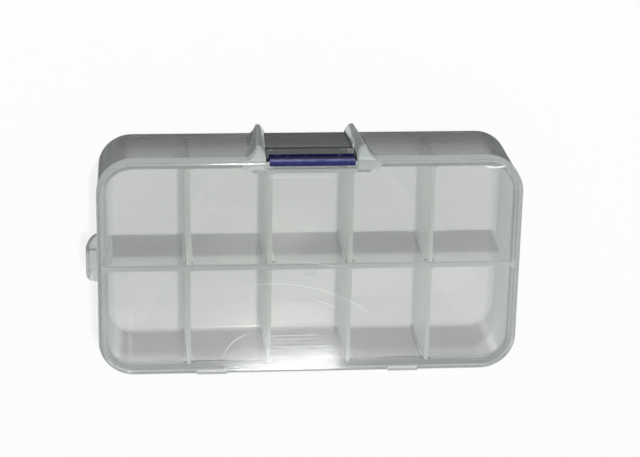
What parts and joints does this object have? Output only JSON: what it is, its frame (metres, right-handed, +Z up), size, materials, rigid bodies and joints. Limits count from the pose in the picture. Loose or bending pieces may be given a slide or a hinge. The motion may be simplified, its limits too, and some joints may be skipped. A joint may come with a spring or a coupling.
{
  "type": "compartment storage box",
  "caption": "Shallow clear plastic storage box with a hinged snap lid, small compartments with lift-out dividers and a hanging loop.",
  "frame": {"origin": "middle of the flat underside of the tray, on the surface the box lies on", "axes": "+X along the long side towards the hanging loop, -Y towards the latch, +Y towards the hinge, +Z up through the lid"},
  "size_m": [0.1335, 0.0753, 0.03],
  "materials": {
    "clear_polypropylene": "gloss, natural translucent polypropylene",
    "blue_polypropylene": "gloss, opaque moulded navy polypropylene"
  },
  "bodies": {
    "tray": {"tray": "clear_polypropylene", "divider_front_1": "clear_polypropylene", "divider_front_2": "clear_polypropylene", "divider_front_3": "clear_polypropylene", "divider_front_4": "clear_polypropylene", "divider_back_1": "clear_polypropylene", "divider_back_2": "clear_polypropylene", "divider_back_3": "clear_polypropylene", "divider_back_4": "clear_polypropylene"},
    "lid": {"lid": "clear_polypropylene"},
    "latch": {"latch": "blue_polypropylene"}
  },
  "joints": [
    {"name": "lid_hinge", "type": "hinge", "parent": "tray", "child": "lid", "pos_m": [0, 0.03545, 0.0236], "axis": [-1, 0, 0], "range_deg": [0, 180]},
    {"name": "latch_hinge", "type": "hinge", "parent": "lid", "child": "latch", "pos_m": [-0.0002, -0.03365, 0.0284], "axis": [-1, 0, 0], "range_deg": [0, 110]}
  ]
}
